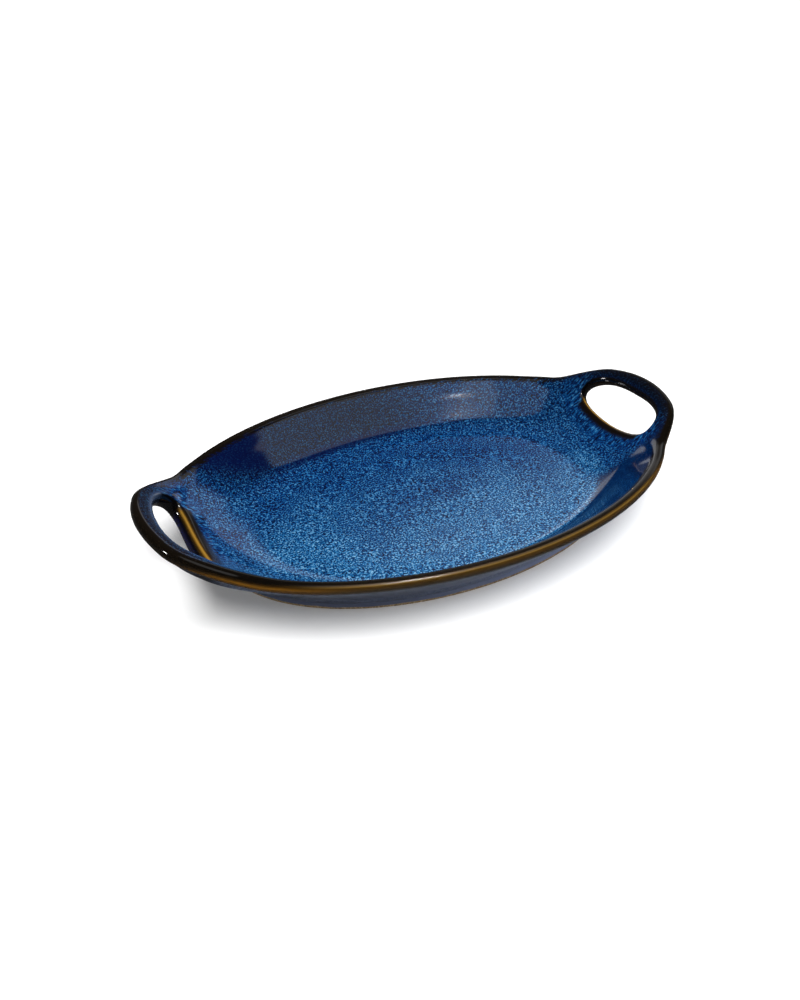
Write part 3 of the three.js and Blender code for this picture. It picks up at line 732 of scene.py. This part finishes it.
def crest_colour(tree, facts):
    """Rolled edges: amber along the rim, lower down at the handle roots, dark on the straps, and a gold line
    inside the end edges."""
    add = partial(add_node, tree)
    rim_crest = add(RAMP, {"Fac": facts.turn}, stops=[
        (0.05, IRON_BROWN), (0.40, "#1c1308"), (0.47, "#62481a"), (0.52, "#8e6c2c"),
        (0.58, "#553a0a"), (0.76, "#33260f"), (0.95, "#3c3f44")])
    root_crest = add(RAMP, {"Fac": facts.turn}, stops=[
        (0.05, "#120d09"), (0.46, "#0f0a05"), (0.56, "#3c2708"), (0.66, "#7c520a"),
        (0.76, "#4a3008"), (0.95, "#16110c")])
    strap_crest = add(RAMP, {"Fac": facts.turn}, stops=[
        (0.05, "#18120c"), (0.50, "#140e06"), (0.66, "#180f04"), (0.95, "#06070c")])
    gold_line = add(RAMP, {"Fac": facts.turn}, stops=[
        (0.05, IRON_BROWN), (0.16, "#3a270a"), (0.24, "#c8963a"), (0.33, "#4a340e"),
        (0.42, HOLE_BLACK), (0.62, "#03063a"), (0.90, "#02031a")])

    flecked_turn = add(MATH, {0: facts.fleck, 1: -0.8, 2: facts.turn}, operation="MULTIPLY_ADD")
    hole_turn = add(MATH, {0: flecked_turn, 1: 0.4})
    # painted reflection: grey-blue over the left hole's edge, dark further round
    hole_edge_mirroring = add(RAMP, {"Fac": hole_turn}, stops=[
        (0.02, "#5a6a86"), (0.24, "#414e66"), (0.40, "#182130"), (0.54, "#06070c")])
    hole_side = add(MIX, {"Fac": facts.leftward, "Color1": strap_crest, "Color2": hole_edge_mirroring})
    strap_edge = add(MIX, {"Fac": facts.inward, "Color1": strap_crest, "Color2": hole_side})
    at_root = add(RANGE, {"Value": facts.along, **span(CREST_ROOT)}, **SMOOTH)
    rooted = add(MIX, {"Fac": at_root, "Color1": rim_crest, "Color2": root_crest})
    long_crest = add(MIX, {"Fac": facts.past_neck, "Color1": rooted, "Color2": strap_edge})
    end_crest = add(MIX, {"Fac": facts.corner, "Color1": gold_line, "Color2": HOLE_BLACK})
    at_end = add(RANGE, {"Value": facts.from_end, **span(CREST_END), "To Min": 1.0, "To Max": 0.0})
    return add(MIX, {"Fac": at_end, "Color1": long_crest, "Color2": end_crest})


def left_shade(tree, coat, spot):
    """A coat of the outside with painted shade: darkened towards the left, away from the light."""
    share = add_node(tree, RANGE, {
        "Value": spot["X"], **span(LEFT_SHADE), "To Min": 0.62, "To Max": 0.0}, **SMOOTH)
    return add_node(tree, MIX, {"Fac": share, "Color1": coat, "Color2": SHADE_BLUE})


def outside_colour(tree, facts):
    """Outside: a thinner slate-blue coat, paler towards the foot with painted light, darker towards the left
    with painted shade, and dark under the straps and end edges.
    """
    add = partial(add_node, tree)
    slate = add(RAMP, {"Fac": facts.speck}, stops=[
        (0.36, "#4c566a"), (0.52, "#6e788c"), (0.68, "#8c95a6")])
    # painted light: the outside paler low down, from the floor's bounce
    low_light = add(RANGE, {"Value": facts.spot["Z"], **span(LOW_LIGHT_SPAN), "To Min": 0.3, "To Max": 0.0})
    paler = add(MIX, {"Fac": low_light, "Color1": slate, "Color2": "#7c88aa"})
    # painted shade towards the left
    shaded = left_shade(tree, paler, facts.spot)
    end_shade = add(RANGE, {"Value": facts.from_end, **span(END_SHADE), "To Min": 1.0, "To Max": 0.0})
    dark = add(MATH, {0: end_shade, 1: facts.past_neck}, operation="MAXIMUM")
    return add(MIX, {"Fac": dark, "Color1": shaded, "Color2": "#05060f"})


def reactive_glaze():
    """Reactive stoneware glaze, fired glossy: fine light and navy speckle floating in cobalt, and where the
    melt ran thin over an edge, the iron clay breaks through in dark brown and amber."""
    material, tree, shader = new_material("reactive_stoneware_glaze")
    add = partial(add_node, tree)
    facts = GlazeFacts(tree)
    edged = add(MIX, {
        "Fac": facts.on_edge, "Color1": upper_colour(tree, facts), "Color2": crest_colour(tree, facts)})
    under = add(RANGE, {"Value": facts.turn, **span(UNDER_TURN)})
    colour = add(MIX, {"Fac": under, "Color1": edged, "Color2": outside_colour(tree, facts)})
    satin = add(RANGE, {"Value": facts.along, **span(SATIN), "To Min": SATIN_RIM, "To Max": GLOSSY})
    crest_roughness = add("ShaderNodeMix", {"Factor": facts.on_edge, "A": GLOSSY, "B": satin})
    roughness = add(RANGE, {
        "Value": facts.turn, **span(DULL_TURN), "To Min": crest_roughness, "To Max": DULL_OUTSIDE})
    bump = add("ShaderNodeBump", {"Height": facts.speck, "Strength": 0.08, "Distance": 0.05 * MM})
    set_inputs(tree, shader, {"Base Color": colour, "Roughness": roughness, "Normal": bump, "IOR": 1.52})
    return material


# Bare clay of the foot, in millimetres
GRIT = 0.8                  # width of its grains
LAP_LINE = 1.3              # the glaze stops about this far above the table
LAP_WAVE = 9.0              # length of the waves in its lower edge
LAP_WANDER = 0.8            # how far they wander up and down
LAP_FADE = (0.3, 0.6)       # glaze setting in, above that line


def bare_stoneware():
    """Unglazed buff stoneware, wiped clean before firing: dry and grainy, with the glaze lapping down from
    above."""
    material, tree, shader = new_material("bare_buff_stoneware")
    add = partial(add_node, tree)
    place, spot = place_in_mm(tree)
    # the lapping glaze, with painted shade towards the left
    lap = left_shade(tree, "#8e9abc", spot)
    grit = add(NOISE, {"Vector": place, "Scale": 1 / GRIT, "Detail": 3.0})
    bare = add(RAMP, {"Fac": grit}, stops=[
        (0.35, "#8a7458"), (0.55, "#b49b7a"), (0.70, "#cdb896")])
    wave = add(NOISE, {"Vector": place, "Scale": 1 / LAP_WAVE, "Detail": 1.0})
    line = add(MATH, {0: wave, 1: LAP_WANDER, 2: spot["Z"]}, operation="MULTIPLY_ADD")
    glazed = add(RANGE, {"Value": line, **span(LAP_FADE, LAP_LINE)})
    colour = add(MIX, {"Fac": glazed, "Color1": bare, "Color2": lap})
    roughness = add(RANGE, {"Value": glazed, "To Min": 0.85, "To Max": 0.34})
    bump = add("ShaderNodeBump", {"Height": grit, "Strength": 0.3, "Distance": 0.1 * MM})
    set_inputs(tree, shader, {"Base Color": colour, "Roughness": roughness, "Normal": bump})
    return material


def foot_tree(material):
    """Foot ring: a trapezoid section with rounded corners, carried round the oval of the floor."""
    tree = bpy.data.node_groups.new("foot_ring", "GeometryNodeTree")
    add = partial(add_node, tree)
    tree.interface.new_socket("Foot", in_out="OUTPUT", socket_type="NodeSocketGeometry")
    for name in ("Half length", "Half width", "Bottom width", "Top width", "Height", "Rounding"):
        tree.interface.new_socket(name, in_out="INPUT", socket_type="NodeSocketFloat")
    sizes = add("NodeGroupInput").outputs
    circle = add("GeometryNodeCurvePrimitiveCircle", {"Resolution": FOOT_COLUMNS, "Radius": 1.0})
    oval_size = add("ShaderNodeCombineXYZ", {"X": sizes["Half length"], "Y": sizes["Half width"], "Z": 1.0})
    half_height = add(MATH, {0: sizes["Height"], 1: 0.5}, operation="MULTIPLY")
    lift = add("ShaderNodeCombineXYZ", {"Z": half_height})
    oval = add("GeometryNodeTransform", {"Geometry": circle, "Scale": oval_size, "Translation": lift})
    upright = add("GeometryNodeSetCurveNormal", {"Curve": oval}, mode="Z_UP")
    section = add("GeometryNodeCurvePrimitiveQuadrilateral", {
        "Height": sizes["Height"], "Bottom Width": sizes["Bottom width"], "Top Width": sizes["Top width"],
        "Offset": 0.0}, mode="TRAPEZOID")
    rounded = add("GeometryNodeFilletCurve", {
        "Curve": section, "Radius": sizes["Rounding"], "Count": FOOT_CORNER_STEPS}, mode="POLY")
    ring = add("GeometryNodeCurveToMesh", {"Curve": upright, "Profile Curve": rounded})
    smooth = add("GeometryNodeSetShadeSmooth", {"Geometry": ring})
    real = add("GeometryNodeRealizeInstances", {"Geometry": smooth})
    finished = add("GeometryNodeSetMaterial", {"Geometry": real, "Material": material})
    add("NodeGroupOutput", {"Foot": finished})
    return tree


def foot_piece(material):
    """The foot ring as a piece of its own."""
    holder = bpy.data.objects.new("foot_maker", bpy.data.meshes.new("foot_maker"))
    bpy.context.scene.collection.objects.link(holder)
    tree = foot_tree(material)
    sizes = {
        "Half length": FLOOR_HALF_LENGTH + FOOT_OUTSET - FOOT_WIDTH / 2,
        "Half width": FLOOR_HALF_WIDTH + FOOT_OUTSET - FOOT_WIDTH / 2,
        "Bottom width": FOOT_WIDTH,
        "Top width": FOOT_WIDTH + 2 * FOOT_FLARE,
        "Height": FOOT_HEIGHT + FOOT_SINK,
        "Rounding": FOOT_ROUNDING,
    }
    maker = holder.modifiers.new("foot_ring", "NODES")
    maker.node_group = tree
    for socket in tree.interface.items_tree:
        if socket.in_out == "INPUT":
            maker[socket.identifier] = sizes[socket.name] * MM
    evaluated = holder.evaluated_get(bpy.context.evaluated_depsgraph_get())
    mesh = bpy.data.meshes.new_from_object(evaluated)
    bpy.data.objects.remove(holder)
    mesh.name = "foot_ring_clay"
    piece = bpy.data.objects.new("foot_ring_clay", mesh)
    bpy.context.scene.collection.objects.link(piece)
    return piece


# The platter

glaze = reactive_glaze()
clay = bare_stoneware()
whole_skin = skin_mesh()
pieces = {
    "dish_body": skin_piece("glazed_dish", whole_skin, -JOINT, JOINT, glaze),
    "handle_right": skin_piece("glazed_handle_right", whole_skin, JOINT, FAR_END, glaze),
    "handle_left": skin_piece("glazed_handle_left", whole_skin, -FAR_END, -JOINT, glaze),
    "foot_ring": foot_piece(clay),
}
for node, piece in pieces.items():
    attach(piece, "root")
    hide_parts(node)

# Studio: a white sweep and soft light. The camera's distance is in millimetres, its shifts are in pixels.

CAMERA_AZIMUTH = math.radians(-29.516)
CAMERA_ELEVATION = math.radians(30.390)
CAMERA_DISTANCE = 472.5     # from the middle of the rim
CAMERA_NEAREST = 10.0
FOCAL_PIXELS = 891.8
SHIFT_X = -26.83
SHIFT_Y = -35.73
IMAGE_HEIGHT = 1000
SENSOR = 36.0

scene = bpy.context.scene
scene.view_settings.view_transform = "Standard"
back = Vector((
    math.sin(CAMERA_AZIMUTH) * math.cos(CAMERA_ELEVATION),
    -math.cos(CAMERA_AZIMUTH) * math.cos(CAMERA_ELEVATION),
    math.sin(CAMERA_ELEVATION),
))
right = Vector((math.cos(CAMERA_AZIMUTH), math.sin(CAMERA_AZIMUTH), 0))
up = back.cross(right)
camera_data = bpy.data.cameras.new("camera")
camera_data.sensor_width = SENSOR
camera_data.lens = FOCAL_PIXELS * SENSOR / IMAGE_HEIGHT
camera_data.shift_x = SHIFT_X / IMAGE_HEIGHT
camera_data.shift_y = SHIFT_Y / IMAGE_HEIGHT
camera_data.clip_start = CAMERA_NEAREST * MM
camera = bpy.data.objects.new("camera", camera_data)
location = back * CAMERA_DISTANCE * MM + Vector((0, 0, RIM_HEIGHT * MM))
camera.matrix_world = Matrix.Translation(location) @ Matrix((right, up, back)).transposed().to_4x4()
scene.collection.objects.link(camera)
scene.camera = camera

# White floor, in metres; in the gloss it shows only dimly, as dark cards stand round the platter
FLOOR_REACH = 6.0
FLOOR_GLOW = 0.1            # under the platter, where its shadow shows
GLOW_FADE = (0.25, 0.7)     # from there to where the floor is plain white
FLOOR_MIRRORED = 0.08
floor_corners = [(x * FLOOR_REACH, y * FLOOR_REACH, 0) for x, y in ((-1, -1), (1, -1), (1, 1), (-1, 1))]
floor_mesh = bpy.data.meshes.new("studio_floor")
floor_mesh.from_pydata(floor_corners, [], [(0, 1, 2, 3)])
floor_material, floor_nodes, floor_shader = new_material("white_studio_floor")
floor_ray = add_node(floor_nodes, "ShaderNodeLightPath").outputs
floor_place = add_node(floor_nodes, "ShaderNodeTexCoord").outputs["Object"]
floor_away = add_node(floor_nodes, "ShaderNodeVectorMath", {0: floor_place}, operation="LENGTH")
floor_white = add_node(floor_nodes, RANGE, {
    "Value": floor_away.outputs["Value"], **span(GLOW_FADE),
    "To Min": FLOOR_GLOW, "To Max": 1.0}, **SMOOTH)
floor_glow = add_node(floor_nodes, MATH, {
    0: floor_ray["Is Camera Ray"], 1: floor_white}, operation="MULTIPLY")
set_inputs(floor_nodes, floor_shader, {
    "Base Color": "#f4f4f4", "Roughness": 0.9, "Specular IOR Level": 0.0,
    "Emission Color": "#ffffff", "Emission Strength": floor_glow})
floor_dim = add_node(floor_nodes, "ShaderNodeEmission", {"Strength": FLOOR_MIRRORED})
floor_mix = add_node(floor_nodes, "ShaderNodeMixShader", {
    0: floor_ray["Is Glossy Ray"], 1: floor_shader, 2: floor_dim})
set_inputs(floor_nodes, floor_nodes.nodes["Material Output"], {"Surface": floor_mix})
floor_mesh.materials.append(floor_material)
floor = bpy.data.objects.new("studio_floor", floor_mesh)
scene.collection.objects.link(floor)


def towards(azimuth, elevation):
    """Unit vector from the platter; azimuth is from straight behind it round to its right, in degrees."""
    a = math.radians(azimuth)
    e = math.radians(elevation)
    return Vector((math.sin(a) * math.cos(e), math.cos(a) * math.cos(e), math.sin(e)))


# The gloss mirrors a backdrop behind on the right, up to its upper edge; dark cards keep the rest deep
BACKDROP_MIDDLE = towards(50, 0)
BACKDROP_SIDES = (0.74, 0.82)   # cosine of the angle from its middle, at its sides
BACKDROP_RISE = ((0, 0.02), (17, 0.03), (19, 0.5), (29, 0.54), (36, 0.0))  # elevation and strength
CARD_STRENGTH = 0.03
FILL_STRENGTH = 0.3
world = bpy.data.worlds.new("studio")
world.use_nodes = True
scene.world = world
sky = world.node_tree
sky_ray = add_node(sky, "ShaderNodeLightPath").outputs
sky_place = add_node(sky, "ShaderNodeTexCoord").outputs["Generated"]
sky_facing = add_node(sky, "ShaderNodeVectorMath", {
    0: sky_place, 1: BACKDROP_MIDDLE}, operation="DOT_PRODUCT").outputs["Value"]
sky_height = add_node(sky, "ShaderNodeSeparateXYZ", {"Vector": sky_place}).outputs["Z"]
sky_across = add_node(sky, RANGE, {"Value": sky_facing, **span(BACKDROP_SIDES)}, **SMOOTH)
sky_rise = add_node(sky, RAMP, {"Fac": sky_height}, stops=[
    (math.sin(math.radians(elevation)), (strength, strength, strength, 1.0))
    for elevation, strength in BACKDROP_RISE])
sky_backdrop = add_node(sky, MATH, {0: sky_across, 1: sky_rise}, operation="MULTIPLY")
sky_mirrored = add_node(sky, MATH, {0: sky_backdrop, 1: CARD_STRENGTH})
sky_light = add_node(sky, "ShaderNodeMix", {
    "Factor": sky_ray["Is Glossy Ray"], "A": FILL_STRENGTH, "B": sky_mirrored})
sky_seen = add_node(sky, MATH, {
    0: sky_ray["Is Camera Ray"], 1: sky_ray["Is Transmission Ray"]}, operation="MAXIMUM")
sky_strength = add_node(sky, "ShaderNodeMix", {"Factor": sky_seen, "A": sky_light, "B": 1.0})
set_inputs(sky, sky.nodes["Background"], {"Color": "#ffffff", "Strength": sky_strength})


def soft_lamp(name, centre, distance, size, radiance, along=Vector((0, 1, 0)), mirrored=True, lights=True):
    """Oval softbox, in metres; along is the direction that its second side follows. One that isn't mirrored
    shows in no gloss, and one that lights nothing is seen only in the gloss."""
    data = bpy.data.lights.new(name, "AREA")
    data.shape = "ELLIPSE"
    data.size, data.size_y = size
    area = math.pi / 4 * size[0] * size[1]
    data.energy = radiance * math.pi * area
    lamp = bpy.data.objects.new(name, data)
    side = along.cross(centre).normalized()
    turn = Matrix((side, centre.cross(side), centre)).transposed().to_4x4()
    lamp.matrix_world = Matrix.Translation(centre * distance) @ turn
    lamp.visible_glossy = mirrored
    lamp.visible_diffuse = lights
    scene.collection.objects.link(lamp)
    return lamp


def lights_only(lamp, objects):
    """Keeps a lamp's light to some of the objects."""
    lit = bpy.data.collections.new(lamp.name + "_lights")
    for lit_object in objects:
        lit.objects.link(lit_object)
    lamp.light_linking.receiver_collection = lit


key = soft_lamp(
    "key_softbox", towards(50, 62), distance=2.6, size=(2.14, 2.14), radiance=5.0, mirrored=False)
lights_only(key, pieces.values())
overhead = soft_lamp(
    "overhead_softbox", towards(160, 70), distance=2.6, size=(3.3, 3.3), radiance=5.0, mirrored=False)
lights_only(overhead, [floor])
soft_lamp(
    "front_softbox", towards(141, 59.6), distance=1.5, size=(0.66, 1.65), radiance=0.7,
    along=towards(190, 64) - towards(110, 42), lights=False)
soft_lamp("side_softbox", towards(-155, 68), distance=1.5, size=(0.7, 0.95), radiance=0.55, lights=False)
soft_lamp("front_lamp", towards(177, 61), distance=1.3, size=(0.08, 0.06), radiance=230, lights=False)
soft_lamp("handle_card", towards(48, 14), distance=0.277, size=(0.09, 0.13), radiance=0.9, lights=False)
soft_lamp("left_lamp", towards(-90, 24), distance=1.0, size=(0.1, 0.16), radiance=60, lights=False)
